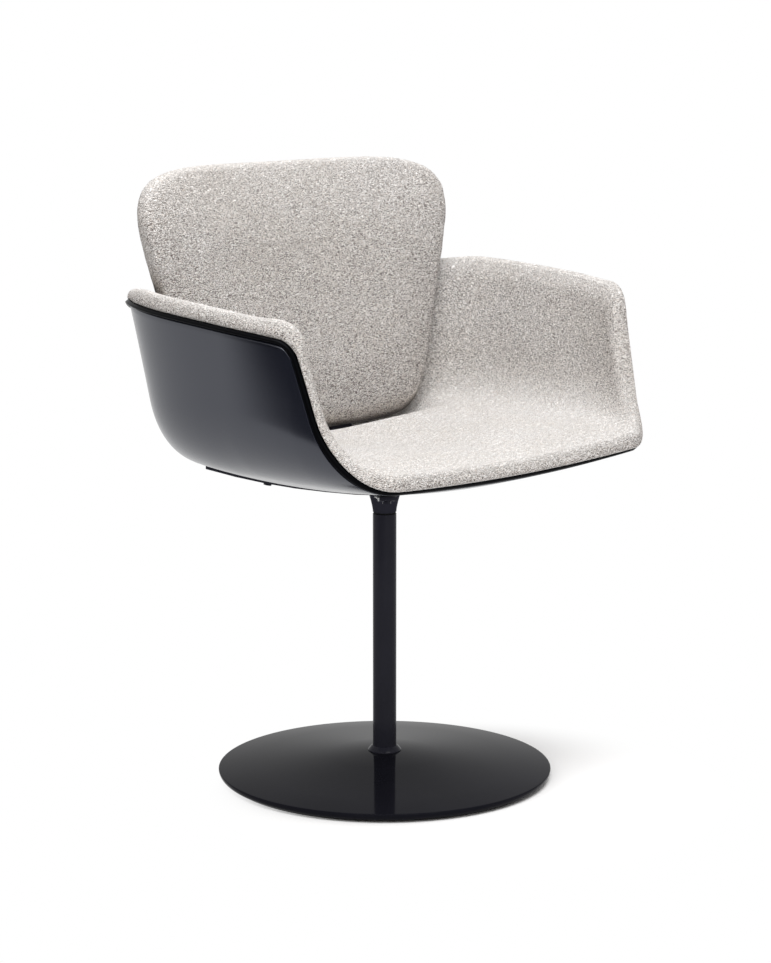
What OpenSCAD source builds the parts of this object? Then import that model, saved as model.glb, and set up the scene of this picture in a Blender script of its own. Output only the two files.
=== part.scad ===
// Pedestal swivel armchair: a moulded double shell with upholstery and a loose
// back cushion, on a round column and a heavy disc base. Millimetres.
// Origin on the floor at the column axis, +Z up, the sitter faces -Y.

/* [Base] */
// Diameter of the base disc
base_d = 440; // [380:5:520]
// Height of the disc's rim above the floor
base_rim_h = 12; // [9:0.5:18]
// Height of the disc's hub above the floor
base_hub_h = 33; // [27:0.5:42]
// Wall of the hollow disc
base_wall = 8; // [6:0.5:9]
// How far the rim's lower edge is drawn in
base_undercut = 9; // [4:0.5:12]
// Thickness of the glide ring under the rim
glide_t = 2; // [1.5:0.1:4]
// Width of the glide ring
glide_w = 14; // [8:1:16]

/* [Column] */
// Outer diameter of the column tube
column_d = 31; // [28:0.5:38]
// Wall of the column tube
column_wall = 3; // [2:0.25:4]
// Height of the joint between the tube and the turning collar
seam_h = 354; // [300:1:420]
// Diameter of the turning shaft
shaft_d = 20; // [16:0.5:20.5]
// Length of each plain bush
bush_l = 30; // [20:1:45]
// Distance between the two bushes
bush_gap = 43; // [25:1:70]
// Outer diameter of the collar under the seat
collar_top_d = 40; // [38:0.5:60]
// Height of the collar
collar_h = 24; // [14:0.5:40]
// Thickness of the upper bush's flange, which shows as a dark groove
flange_t = 1.6; // [1:0.1:3]
// Diameter of the flare round the column's foot
foot_ring_d = 44; // [42:0.5:60]
// Height of that flare
foot_ring_h = 7; // [5:0.5:10]
// Thread diameter of the bolt that draws the column down
draw_bolt_d = 12; // [8:1:12]

/* [Bracket] */
// Thickness of the star bracket
bracket_t = 5; // [4:0.5:8]
// Width of its arms
bracket_arm_w = 30; // [28:1:50]
// Reach of its arms from the axis
bracket_reach = 232; // [180:2:240]
// Gap between the bracket and the shell at the hub and the rear arms
bracket_gap = 6; // [4:0.1:8]
// Gap between the front arms and the shell
bracket_front_gap = 3; // [2:0.1:6]
// Distance of the seat screws from the axis
screw_reach = 150; // [110:1:170]
// Diameter of the seat screws
screw_d = 6; // [5:0.5:8]

/* [Seat shell] */
// Width of the shell over its rim
rim_w = 656; // [600:2:760]
// Width of the shell where its walls meet the pan
foot_w = 612; // [560:2:630]
// Column axis to the front edge of the pan
front_reach = 229; // [200:1:260]
// Column axis to the front of the arms at their top
arm_reach = 143.5; // [110:1:170]
// Column axis to the rear rim
rear_reach = 240; // [200:1:280]
// Column axis to the foot of the rear wall
rear_foot = 198; // [170:1:215]
// Front edge of the pan above the lowest point of the shell
front_rise = 36; // [25:1:50]
// Foot of the side walls above that point
side_rise = 68; // [45:1:80]
// Foot of the rear wall above that point
rear_rise = 22; // [15:1:40]
// Height of the arms' front end above the floor
arm_front_h = 609; // [560:1:680]
// Height of the rear rim above the floor
arm_rear_h = 641; // [580:1:680]
// How far the rim dips behind the cushion
rear_dip = 30; // [0:1:36]
// Size of the bend between pan and wall at the front
bend_front = 65; // [45:1:80]
// Size of that bend at the rear
bend_rear = 44; // [36:1:80]
// Corner radius at the front top of the arms
arm_corner = 9; // [8:1:30]
// Thickness of the outer shell
outer_t = 3.2; // [2.5:0.1:5]
// Thickness of the inner shell
inner_t = 3.2; // [2.5:0.1:5]
// How far the rim of the inner shell laps over the outer one
lip_w = 7; // [5:0.5:10]

/* [Upholstery] */
// Thickness of the padding on the arms
pad_t = 19; // [14:0.5:26]
// Extra thickness in the middle of the seat
seat_extra = 33; // [15:1:45]
// Height of the rolled edge above the rim of the arms
roll_h = 17; // [12:0.5:24]

/* [Back cushion] */
// From the outside of the shell's rim in to the side of the cushion at its top
cushion_inset = 25; // [22:1:48]
// Width of the cushion at its bottom
cushion_bottom_w = 390; // [320:2:400]
// Height of the cushion
cushion_h = 364; // [320:2:400]
// Thickness of the cushion
cushion_t = 57; // [50:1:60]
// Height of its lower edge above the floor
cushion_z = 442; // [442:1:470]
// How much more upright the cushion stands than the rear wall, in degrees
cushion_upright = 1.6; // [0.4:0.2:3.4]
// Thickness of the board inside the cushion
board_t = 8; // [6:0.5:12]

/* [Hidden] */
$fn = 96;

// Fits and small sizes
// Radial clearance of a shaft or spigot
fit = 0.05;
// Gap between a soft or moulded piece and its neighbour
ease_gap = 0.3;
// Overrun of every cut
overrun = 1;
// Gap at the turning joint
turn_gap = 0.3;
// Gap under a flat foot in its recess
seat_gap = 0.02;

base_r = base_d / 2;
foot_ring_r = foot_ring_d / 2;
hub_margin = 1;
hub_flat_r = foot_ring_r + hub_margin;
socket_depth = 8;
hub_floor = 8;
boss_wall = 7;
boss_r = hub_flat_r + boss_wall;
rim_round = 1.2;
column_r = column_d / 2;
tube_r = column_r - column_wall;
socket_z = base_hub_h - socket_depth;
washer_seat_z = socket_z - hub_floor;
washer_t = 2.5;
plug_l = 30;
draw_r = draw_bolt_d / 2;
draw_head_h = 7;
// Shares of a bolt's thread diameter: radii of its head, washer and key
draw_head_share = 0.74;
draw_washer_share = 1.15;
key_share = 0.42;
glide_inset = 1;
glide_out_r = base_r - base_undercut - glide_inset;
hollow_r = glide_out_r - glide_w - 2 * glide_inset;

column_top = seam_h - flange_t;
shaft_r = shaft_d / 2;
bush_z = column_top - 2 * bush_l - bush_gap;
shaft_washer_t = 1.5;
circlip_t = 1.4;
circlip_depth = 1.2;
// Share of the room between shaft and tube that the circlip takes
circlip_share = 0.7;
circlip_gap_a = 50;
shaft_tail = 9;
collar_z = seam_h + turn_gap;
collar_top_r = collar_top_d / 2;
collar_neck = 2;
collar_steps = 10;
collar_power = 2.2;
flange_inset = 1;
flange_r = column_r - flange_inset;

bracket_z = collar_z + collar_h;
pan_h = bracket_z + bracket_t + bracket_gap;
screw_r = screw_d / 2;
spot_depth = 1;
pad_r = 2 * screw_d;
screw_head_share = 0.875;
screw_head_r = screw_d * screw_head_share;
screw_head_h = screw_r;
insert_r = 9;
insert_flange_t = 1.5;
insert_wall = 1.2;
arm_angles = [45, 135, 225, 315];
arm_steps = 12;

shell_t = outer_t + ease_gap + inner_t;
foot_half = foot_w / 2;
rim_half = rim_w / 2;
wall_lean = rim_half - foot_half;
wall_h = arm_front_h - pan_h - side_rise;
mid_y = -40;
spine_rear = 30;
front_flat_share = 0.76;
front_step_share = 0.73;
narrow_share = 0.055;
corner_power = 3.35;
rim_power = 0.6;
dip_share = 0.66;
side_share = 0.42;
seat_flat_share = 0.2;
pan_share = 0.5;
bend_share = 0.75;
front_shares = [0, 0.03, 0.08, 0.16, 0.4, 0.7];
rear_steps = 11;
pan_steps = 5;
bend_steps = 5;
wall_steps = 2;
probe = 0.5;
probe_share = 0.002;

// Where an edge changes from its front form to its form on top of the arms
front_edge_share = 0.8;
edge_turn = 6;
// Lip of the inner shell: along the edge as shares of lip_w, across as shares of shell_t
lip_front_shares = [[0.08, 0.5], [0.1, 0], [0.45, -0.12], [0.85, 0.2], [0.97, 0.65]];
lip_top_shares = [[0.08, 0.48], [0.1, -0.1], [0.5, -0.8], [0.92, -0.15], [1, 0.55]];
// Rolled edge of the padding: along as shares of the roll, across as shares of pad_t
roll_front = 7;
roll_front_shares = [[0, 0], [0.5, -0.02], [0.9, 0.08], [1, 0.3], [0.8, 0.65], [0.1, 0.92]];
roll_top_shares = [[0, 0], [0.03, -0.3], [0.35, -0.4], [0.85, -0.2], [1, 0.2], [0.7, 0.7]];

// Height of the roll behind the cushion as a share of roll_h, and where the edge thins to it
rear_roll_share = 0.5;
behind_share = 0.46;
behind_run = 0.31;

// Where the padding of the seat thins to make room for the cushion
rest_lead = 50;
rest_run = 60;
rest_dip_share = 0.25;
rest_wall_share = 0.6;

cushion_top_w = rim_w - 2 * cushion_inset;
// Lower middle of the cushion ahead of the rear wall's foot, and its lean to the rear
cushion_set = 34;
cushion_y = rear_foot - pad_t - cushion_set;
cushion_lean = atan2(rear_reach - rear_foot, arm_rear_h - pan_h - rear_rise) - cushion_upright;
cushion_top_power = 4.2;
cushion_bottom_power = 9;
cushion_wrap = 42;
cushion_lower_share = 0.86;
cushion_edge_power = 4.8;
cushion_crown_power = 0.275;
cushion_sides = 60;
// Rings from the middle of a face out to its edge, as shares of the outline
ring_shares = [0.25, 0.5, 0.7, 0.83, 0.92, 0.97, 0.992];
board_w_share = 0.72;
board_h = 250;
board_z = 40;
board_corner = 30;
hanger_w = 40;
hanger_t = 4;
hanger_x = 70;
hanger_foot = 46;
hanger_shift = 16;
hanger_rise = 150;
rivet_r = 2.4;
rivet_head_r = 4.4;
rivet_head_h = 1.4;
board_screw_r = 2.5;
board_screw_head_r = 5;
board_screw_head_h = 2.4;

function lerp(a, b, t) = a + (b - a) * t;
function clamp01(t) = min(1, max(0, t));
function ease(t) = let (u = clamp01(t)) u * u * (3 - 2 * u);
function unit(v) = v / norm(v);

// Surface of the seat shell: s runs from the front edge, 0, to the rear centre, 1,
// and c from the spine, 0, across the pan and its bend to the rim, 1.
function pan_z(x, y) = let (q = max(0, -y) / front_reach)
    pan_h + side_rise * pow(x / foot_half, 2) * (1 - front_flat_share * q * q)
    + (y < 0 ? front_rise * q * q : rear_rise * pow(y / rear_foot, 2));
function rim_z(y) = lerp(arm_front_h, arm_rear_h,
    pow(clamp01((y + arm_reach) / (rear_reach + arm_reach)), rim_power))
    - rear_dip * ease((y / rear_reach - dip_share) / (1 - dip_share));
function bend(s) = lerp(bend_front, bend_rear, ease(s));
// Half width, share of the wall's height and share of the pan's run at one place
function profile(s, c) = let (b = bend(s), rise = b / wall_h, flat = 1 - b / foot_half)
    c < pan_share ? let (t = c / pan_share) [(foot_half - b) * t, 0, flat * t]
    : c < bend_share ? let (t = (c - pan_share) / (bend_share - pan_share), m = 2 * t * (1 - t), e = t * t)
        [foot_half - b * (1 - t) * (1 - t) + wall_lean * rise * e, rise * e, flat * (1 - t) * (1 - t) + m + e]
    : let (g = lerp(rise, 1, (c - bend_share) / (1 - bend_share))) [foot_half + wall_lean * g, g, 1];
function front_y(c) = -lerp(front_reach, arm_reach,
    front_step_share * ease((c - pan_share) / (bend_share - pan_share))
    + (1 - front_step_share) * clamp01((c - bend_share) / (1 - bend_share)));
function shell_point(s, c) = let (p = profile(s, c),
    rear_y = lerp(spine_rear, rear_foot, p[2]) + (rear_reach - rear_foot) * p[1],
    q = 1 - s / side_share,
    a = 90 * (s - side_share) / (1 - side_share),
    x = s < side_share ? p[0] * (1 - narrow_share * q * q) : p[0] * pow(max(0, cos(a)), 2 / corner_power),
    y = s < side_share ? lerp(mid_y, front_y(c), q)
        : mid_y + (rear_y - mid_y) * pow(max(0, sin(a)), 2 / corner_power))
    [x, y, lerp(pan_z(x, y), rim_z(y), p[1])];
function pan_slope(x, y) = [(pan_z(x + probe, y) - pan_z(x - probe, y)) / (2 * probe),
    (pan_z(x, y + probe) - pan_z(x, y - probe)) / (2 * probe)];
// Outward normal, from the pan's slope or from two neighbouring points
function shell_normal(s, c) = c <= pan_share
    ? let (p = shell_point(s, c), g = pan_slope(p.x, p.y)) unit([g[0], g[1], -1])
    : let (along = shell_point(min(1, s + probe_share), c) - shell_point(max(0, s - probe_share), c),
        across = shell_point(s, min(1, c + probe_share)) - shell_point(s, c - probe_share),
        n = unit(cross(along, across)))
        s == 1 ? unit([0, n.y, n.z]) : n;

s_places = concat([for (q = front_shares) q * side_share],
    [for (i = [0:rear_steps]) lerp(side_share, 1, i / rear_steps)]);
c_places = concat([for (i = [0:pan_steps - 1]) pan_share * i / pan_steps],
    [for (i = [0:bend_steps - 1]) lerp(pan_share, bend_share, i / bend_steps)],
    [for (i = [0:wall_steps]) lerp(bend_share, 1, i / wall_steps)]);
rows = len(s_places) - 1;
cols = len(c_places) - 1;
corner_share = side_share * arm_corner / (arm_reach + mid_y);
// The rim drops in a quarter round towards the front of the arm
function corner_drop(s) = s >= corner_share ? 0
    : arm_corner / (wall_h - bend_front) * (1 - sqrt(1 - pow(1 - s / corner_share, 2)));
function c_at(i, j) = let (c = c_places[abs(j)])
    c <= bend_share ? c : lerp(bend_share, c, 1 - corner_drop(s_places[i]));
function grid_normal(i, j) = let (n = shell_normal(s_places[i], c_at(i, j))) [sign(j) * n.x, n.y, n.z];
function grid_point(i, j) = let (p = shell_point(s_places[i], c_at(i, j))) [sign(j) * p.x, p.y, p.z];

// A grid of the shell, its vertices and its faces
function grid_index(i, j) = i < rows ? i * (2 * cols + 1) + j + cols : rows * (2 * cols + 1) + abs(j);
grid_cells = [for (i = [0:rows], j = [i < rows ? -cols : 0:cols]) [i, j]];
grid_points = [for (p = grid_cells) grid_point(p[0], p[1])];
grid_normals = [for (p = grid_cells) grid_normal(p[0], p[1])];
grid_count = len(grid_cells);
grid_faces = [for (i = [0:rows - 1], j = [-cols:cols - 1])
    let (a = grid_index(i, j), b = grid_index(i, j + 1), c = grid_index(i + 1, j + 1), d = grid_index(i + 1, j))
    each j < 0 ? [[a, b, c], [a, c, d]] : [[a, b, d], [b, c, d]]];
// The edge: along the front, back over one arm and round to the other
edge_cells = concat([for (j = [-cols:cols]) [0, j]], [for (i = [1:rows]) [i, cols]],
    [for (i = [rows - 1:-1:1]) [i, -cols]]);
edge_count = len(edge_cells);
edge_index = [for (p = edge_cells) grid_index(p[0], p[1])];
edge_outward = [for (k = [0:edge_count - 1])
    let (next = grid_points[edge_index[(k + 1) % edge_count]],
        last = grid_points[edge_index[(k + edge_count - 1) % edge_count]])
    unit(cross(grid_normals[edge_index[k]], next - last))];
// 0 where the edge has its front form, 1 on top of the arms and round the rear
edge_form = [for (p = edge_cells) p[0] == 0
    ? ease(2 / edge_turn * clamp01((c_places[abs(p[1])] - front_edge_share) / (1 - front_edge_share)))
    : ease((p[0] + 2) / edge_turn)];
// 1 where the edge has gone round behind the cushion
edge_behind = [for (g = edge_index) ease((grid_points[g].y / rear_reach - behind_share) / behind_run)];

// A solid between two depths of the shell, whose edge follows a chain of [along, across] places
module shell_solid(depth_out, depth_in, edge_front, edge_top, edge_rear) {
    n = grid_count;
    steps = len(edge_front);
    points = concat([for (k = [0:n - 1]) grid_points[k] - grid_normals[k] * depth_out],
        [for (k = [0:n - 1]) grid_points[k] - grid_normals[k] * depth_in[k]],
        [for (m = [0:1:steps - 1], k = [0:edge_count - 1])
            let (q = lerp(lerp(edge_front[m], edge_top[m], edge_form[k]), edge_rear[m], edge_behind[k]),
                g = edge_index[k])
            grid_points[g] + edge_outward[k] * q[0] - grid_normals[g] * q[1]]);
    function ring(m, k) = m < 0 ? edge_index[k] : m >= steps ? n + edge_index[k] : 2 * n + m * edge_count + k;
    faces = concat(grid_faces,
        [for (f = grid_faces) [for (k = [2:-1:0]) f[k] + n]],
        [for (m = [-1:steps - 1], k = [0:edge_count - 1]) let (next = (k + 1) % edge_count,
            a = ring(m, k), b = ring(m + 1, k), c = ring(m + 1, next), d = ring(m, next))
            each m < 0 ? [[a, b, d], [b, c, d]] : [[a, b, c], [a, c, d]]]);
    polyhedron(points, faces);
}

// Stands a piece on the shell's outer face, its z axis pointing into the seat
module on_pan(x, y) {
    slope = pan_slope(x, y);
    turn = atan2(slope[1], slope[0]);
    translate([x, y, pan_z(x, y)])
        rotate([0, 0, turn])
            rotate([0, -atan(norm(slope)), 0])
                rotate([0, 0, -turn])
                    children();
}

// Gap between an arm and the shell: the front arms close in on it from the hub
function arm_gap(r, a) = lerp(bracket_gap, sin(a) < 0 ? bracket_front_gap : bracket_gap, ease(r / screw_reach));

// Gives each screw place the depths of its pad and of its head below the shell
module at_screws() {
    for (a = arm_angles) {
        $pad_seat = arm_gap(screw_reach, a) + spot_depth;
        $head_seat = arm_gap(screw_reach, a) + bracket_t;
        on_pan(screw_reach * cos(a), screw_reach * sin(a)) children();
    }
}

module at_hangers() {
    for (side = [-1, 1])
        translate([side * hanger_x, 0, 0]) children();
}

module at_hanger_feet() {
    for (side = [-1, 1])
        on_pan(side * hanger_x, cushion_y - hanger_shift) children();
}

// The cushion's own frame: x across, z up its lean, -y to the front
module cushion_frame() {
    translate([0, cushion_y, cushion_z])
        rotate([-cushion_lean, 0, 0])
            children();
}

module tube(r_out, r_in, z, h) {
    difference() {
        translate([0, 0, z]) cylinder(r = r_out, h = h);
        translate([0, 0, z - overrun]) cylinder(r = r_in, h = h + 2 * overrun);
    }
}

function cone_z(r) = lerp(base_hub_h, base_rim_h, (r - hub_flat_r) / (base_r - hub_flat_r));

module base_disc() {
    belly_h = base_rim_h - rim_round - glide_t;
    color("#151517") rotate_extrude() polygon(concat(
        [[draw_r + fit, washer_seat_z], [boss_r, washer_seat_z], [boss_r, cone_z(boss_r) - base_wall],
            [hollow_r, cone_z(hollow_r) - base_wall], [hollow_r, glide_t]],
        [for (a = [0:15:90]) [base_r - base_undercut * (1 - sin(a)), glide_t + belly_h * (1 - cos(a))]],
        [for (a = [15:25:90]) [base_r - rim_round * (1 - cos(a)), base_rim_h - rim_round * (1 - sin(a))]],
        [[hub_flat_r, base_hub_h], [column_r + fit, base_hub_h], [column_r + fit, socket_z],
            [draw_r + fit, socket_z]]));
}

module glide_ring() {
    color("#0c0c0c") tube(glide_out_r, glide_out_r - glide_w, 0, glide_t);
}

module foot_ring() {
    lip = rim_round;
    color("#151517") rotate_extrude() polygon([[column_r + fit, base_hub_h], [foot_ring_r, base_hub_h],
        [foot_ring_r, base_hub_h + lip], [column_r + lip, base_hub_h + foot_ring_h],
        [column_r + fit, base_hub_h + foot_ring_h]]);
}

module column_tube() {
    color("#151517") tube(column_r, tube_r, socket_z, column_top - socket_z);
}

module tube_plug() {
    color("#77797c") tube(tube_r - fit, draw_r + fit, socket_z, plug_l);
}

module draw_bolt() {
    head_z = washer_seat_z - washer_t - draw_head_h;
    color("#77797c") difference() {
        union() {
            translate([0, 0, head_z]) cylinder(r = draw_bolt_d * draw_head_share, h = draw_head_h);
            translate([0, 0, head_z]) cylinder(r = draw_r, h = socket_z + plug_l - head_z - overrun);
        }
        translate([0, 0, head_z - overrun])
            cylinder(r = draw_bolt_d * key_share, h = draw_head_h / 2 + overrun, $fn = 6);
    }
}

module draw_washer() {
    color("#77797c") tube(draw_bolt_d * draw_washer_share, draw_r + fit, washer_seat_z - washer_t, washer_t);
}

module lower_bush() {
    color("#e8e4d8") tube(tube_r - fit, shaft_r + fit, bush_z, bush_l);
}

module upper_bush() {
    color("#26262a") difference() {
        union() {
            translate([0, 0, column_top - bush_l]) cylinder(r = tube_r - fit, h = bush_l + flange_t);
            translate([0, 0, column_top]) cylinder(r = flange_r, h = flange_t);
        }
        translate([0, 0, column_top - bush_l - overrun])
            cylinder(r = shaft_r + fit, h = bush_l + flange_t + 2 * overrun);
    }
}

module swivel_shaft() {
    tail_z = bush_z - shaft_tail;
    groove_z = bush_z - shaft_washer_t - turn_gap - circlip_t;
    chamfer = circlip_depth;
    color("#9a9ca0") rotate_extrude() polygon([[0, tail_z], [shaft_r - chamfer, tail_z],
        [shaft_r, tail_z + chamfer], [shaft_r, groove_z - fit], [shaft_r - circlip_depth, groove_z - fit],
        [shaft_r - circlip_depth, groove_z + circlip_t + fit], [shaft_r, groove_z + circlip_t + fit],
        [shaft_r, bracket_z + bracket_t], [0, bracket_z + bracket_t]]);
}

module shaft_washer() {
    color("#9a9ca0") tube(tube_r - turn_gap, shaft_r + fit, bush_z - shaft_washer_t - fit, shaft_washer_t);
}

module shaft_circlip() {
    clip_z = bush_z - shaft_washer_t - turn_gap - circlip_t;
    in_r = shaft_r - circlip_depth + fit;
    color("#55565a") difference() {
        tube(lerp(shaft_r, tube_r, circlip_share), in_r, clip_z, circlip_t);
        translate([0, 0, clip_z - overrun]) linear_extrude(circlip_t + 2 * overrun)
            polygon([[0, 0], [shaft_d, shaft_d * tan(circlip_gap_a / 2)], [shaft_d, -shaft_d * tan(circlip_gap_a / 2)]]);
    }
}

module collar() {
    flare_h = collar_h - collar_neck;
    color("#151517") rotate_extrude() polygon(concat(
        [[shaft_r + fit, collar_z], [column_r, collar_z]],
        [for (i = [0:collar_steps]) let (t = i / collar_steps)
            [lerp(column_r, collar_top_r, pow(t, collar_power)), collar_z + collar_neck + flare_h * t]],
        [[shaft_r + fit, collar_z + collar_h]]));
}

// Side view of one arm: flat at the hub, then rising with the pan
module arm_profile(a) {
    places = [for (i = [0:arm_steps]) bracket_reach * i / arm_steps];
    function under(r) = pan_z(r * cos(a), r * sin(a)) - arm_gap(r, a);
    polygon(concat([for (r = places) [r, under(r)]],
        [for (i = [arm_steps:-1:0]) [places[i], under(places[i]) - bracket_t]]));
}

module star_bracket() {
    color("#121214") difference() {
        union() {
            translate([0, 0, bracket_z]) cylinder(r = collar_top_r, h = bracket_t);
            for (a = arm_angles)
                rotate([0, 0, a]) translate([0, bracket_arm_w / 2, 0]) rotate([90, 0, 0])
                    linear_extrude(bracket_arm_w) arm_profile(a);
        }
        translate([0, 0, bracket_z - overrun]) cylinder(r = shaft_r + fit, h = bracket_t + 2 * overrun);
        at_screws() {
            translate([0, 0, -$pad_seat]) cylinder(r = pad_r + ease_gap, h = $pad_seat + overrun);
            translate([0, 0, -2 * $head_seat]) cylinder(r = screw_r + ease_gap, h = 2 * $head_seat);
            translate([0, 0, -2 * $head_seat]) cylinder(r = screw_head_r + ease_gap, h = $head_seat);
        }
    }
}

module bracket_pads() {
    color("#0c0c0c") at_screws() tube(pad_r, screw_r + ease_gap, -$pad_seat, $pad_seat + spot_depth);
}

module seat_screws() {
    tip = shell_t + insert_flange_t;
    color("#1b1b1e") at_screws() difference() {
        union() {
            translate([0, 0, -$head_seat]) cylinder(r = screw_r, h = $head_seat + tip);
            translate([0, 0, -$head_seat - screw_head_h]) cylinder(r = screw_head_r, h = screw_head_h);
        }
        translate([0, 0, -$head_seat - screw_head_h - overrun])
            cylinder(r = screw_d * key_share, h = screw_head_h / 2 + overrun, $fn = 6);
    }
}

module thread_inserts() {
    seat = shell_t - spot_depth;
    barrel = screw_r + insert_wall;
    color("#9a9ca0") at_screws() difference() {
        union() {
            translate([0, 0, outer_t + spot_depth]) cylinder(r = barrel, h = seat - outer_t);
            translate([0, 0, seat]) cylinder(r = insert_r, h = insert_flange_t);
        }
        translate([0, 0, outer_t]) cylinder(r = screw_r + fit, h = seat + insert_flange_t);
    }
}

module outer_shell() {
    color("#17181c") difference() {
        shell_solid(0, [for (k = [0:grid_count - 1]) outer_t], [], [], []);
        at_screws() {
            translate([0, 0, -outer_t]) cylinder(r = pad_r + ease_gap, h = outer_t + spot_depth);
            translate([0, 0, -outer_t]) cylinder(r = screw_r + ease_gap, h = 4 * outer_t);
        }
    }
}

function lip_chain(shares) = concat([for (q = shares) [q[0] * lip_w, q[1] * shell_t]], [[lip_w, shell_t]]);

module inner_shell() {
    color("#17181c") difference() {
        shell_solid(outer_t + ease_gap, [for (k = [0:grid_count - 1]) shell_t],
            lip_chain(lip_front_shares), lip_chain(lip_top_shares), lip_chain(lip_top_shares));
        at_screws() {
            translate([0, 0, outer_t]) cylinder(r = screw_r + insert_wall + fit, h = 2 * shell_t);
            translate([0, 0, shell_t - spot_depth]) cylinder(r = insert_r + ease_gap, h = shell_t);
        }
        at_hanger_feet() {
            translate([-hanger_w / 2 - overrun, -hanger_foot / 2 - overrun, shell_t - spot_depth - seat_gap])
                cube([hanger_w + 2 * overrun, hanger_foot + 2 * overrun, shell_t]);
            at_rivets() translate([0, 0, outer_t]) cylinder(r = rivet_r + fit, h = shell_t);
        }
    }
}

function roll_chain(shares, reach) = [for (q = shares)
    [lip_w + ease_gap + q[0] * reach, shell_t + ease_gap + q[1] * pad_t]];
// How far forward the cushion's sides curve at a distance x from its middle
function cushion_curve(x) = cushion_wrap * pow(2 * x / cushion_top_w, 2);
// Padding depth over the grid: deepest in the middle of the seat, thinner under the cushion
pad_depth = [for (k = [0:grid_count - 1])
    let (p = grid_points[k], q = clamp01(-p.y / front_reach), c = c_places[abs(grid_cells[k][1])],
        rest = ease((p.y + cushion_curve(p.x) + rest_lead - cushion_y) / rest_run))
    shell_t + ease_gap + pad_t * (1 - rest_dip_share * rest * (1 - ease((c - rest_wall_share) / side_share)))
        + seat_extra * (1 - ease((c - seat_flat_share) / pan_share)) * (1 - pow(q, 3)) * (1 - rest)];

module seat_pad() {
    color("#e6ddd0") difference() {
        shell_solid(shell_t + ease_gap, pad_depth, roll_chain(roll_front_shares, roll_front),
            roll_chain(roll_top_shares, roll_h), roll_chain(roll_top_shares, roll_h * rear_roll_share));
        at_screws() translate([0, 0, shell_t / 2])
            cylinder(r = insert_r + overrun, h = shell_t / 2 + insert_flange_t + overrun);
        at_hanger_feet() translate([-hanger_w / 2 - overrun, -hanger_foot / 2 - overrun, shell_t / 2])
            cube([hanger_w + 2 * overrun, hanger_foot + 2 * overrun,
                shell_t / 2 + hanger_t + rivet_head_h + overrun]);
        cushion_frame() at_hangers()
            translate([-hanger_w / 2 - overrun, board_t / 2 - overrun, -hanger_rise])
                cube([hanger_w + 2 * overrun, hanger_t + 2 * overrun, 2 * hanger_rise]);
    }
}

module at_rivets() {
    for (side = [-1, 1])
        translate([side * hanger_w / 4, -hanger_foot / 4, 0]) children();
}

// Flat steel hangers: a foot on the inner shell and an upright behind the cushion's board
module back_brackets() {
    color("#2a2b2e") difference() {
        union() {
            at_hanger_feet() translate([-hanger_w / 2, -hanger_foot / 2, shell_t - spot_depth])
                cube([hanger_w, hanger_foot, hanger_t]);
            intersection() {
                cushion_frame() at_hangers() translate([-hanger_w / 2, board_t / 2, -hanger_rise])
                    cube([hanger_w, hanger_t, 2 * hanger_rise]);
                at_hanger_feet() translate([-hanger_w, -hanger_rise, shell_t - spot_depth])
                    cube([2 * hanger_w, 2 * hanger_rise, 4 * hanger_rise]);
            }
        }
        at_hanger_feet() at_rivets() cylinder(r = rivet_r + fit, h = 2 * shell_t + hanger_t);
        cushion_frame() at_hangers() at_board_screws()
            cylinder(r = board_screw_r + fit, h = board_t + hanger_t + overrun);
    }
}

module bracket_rivets() {
    color("#9a9ca0") at_hanger_feet() at_rivets() {
        translate([0, 0, outer_t + 3 * ease_gap])
            cylinder(r = rivet_r, h = inner_t - spot_depth - 2 * ease_gap + hanger_t);
        translate([0, 0, shell_t - spot_depth + hanger_t]) cylinder(r = rivet_head_r, h = rivet_head_h);
    }
}

// Two screws up each hanger, their axes through the board to the front
module at_board_screws() {
    for (up = [board_z + board_corner, board_z + 3 * board_corner])
        translate([0, 0, up]) rotate([-90, 0, 0]) children();
}

module board_outline(grow) {
    w = cushion_bottom_w * board_w_share / 2 - board_corner + grow;
    h = board_h - 2 * board_corner;
    r = board_corner + grow;
    translate([0, board_z + board_corner]) {
        translate([-w, 0]) square([2 * w, h]);
        translate([-w - r, 0]) square([2 * (w + r), h]);
        translate([-w, -r]) square([2 * w, h + 2 * r]);
        for (x = [-w, w], y = [0, h]) translate([x, y]) circle(r = r);
    }
}

module back_board() {
    color("#c9a877") difference() {
        cushion_frame() translate([0, board_t / 2, 0]) rotate([90, 0, 0]) linear_extrude(board_t) board_outline(0);
        cushion_frame() at_hangers() at_board_screws()
            translate([0, 0, -board_t]) cylinder(r = board_screw_r + fit, h = 2 * board_t);
    }
}

module board_screws() {
    color("#9a9ca0") cushion_frame() at_hangers() at_board_screws() {
        translate([0, 0, -board_t / 2 + overrun]) cylinder(r = board_screw_r, h = board_t + hanger_t - overrun);
        translate([0, 0, board_t / 2 + hanger_t]) cylinder(r = board_screw_head_r, h = board_screw_head_h);
    }
}

function cushion_half(h) = lerp(cushion_bottom_w, cushion_top_w, h / cushion_h) / 2;
// Half thickness share of the cushion at a ring: full in the middle, none at the edge
function cushion_crown(r) = pow(1 - pow(r, cushion_edge_power), cushion_crown_power);
// A ring of the cushion: r shrinks its rounded outline about the middle, d is its depth share
function cushion_ring(r, d) = [for (k = [0:cushion_sides - 1]) let (
    a = 360 * k / cushion_sides,
    power = a < 180 ? cushion_top_power : cushion_bottom_power,
    reach = r * pow(pow(abs(cos(a)), power) + pow(abs(sin(a)), power), -1 / power),
    up = cushion_h / 2 * (1 + reach * sin(a)),
    x = cushion_half(up) * reach * cos(a),
    depth = cushion_t / 2 * lerp(cushion_lower_share, 1, up / cushion_h))
    [x, d * depth - cushion_curve(x), up]];

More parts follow.
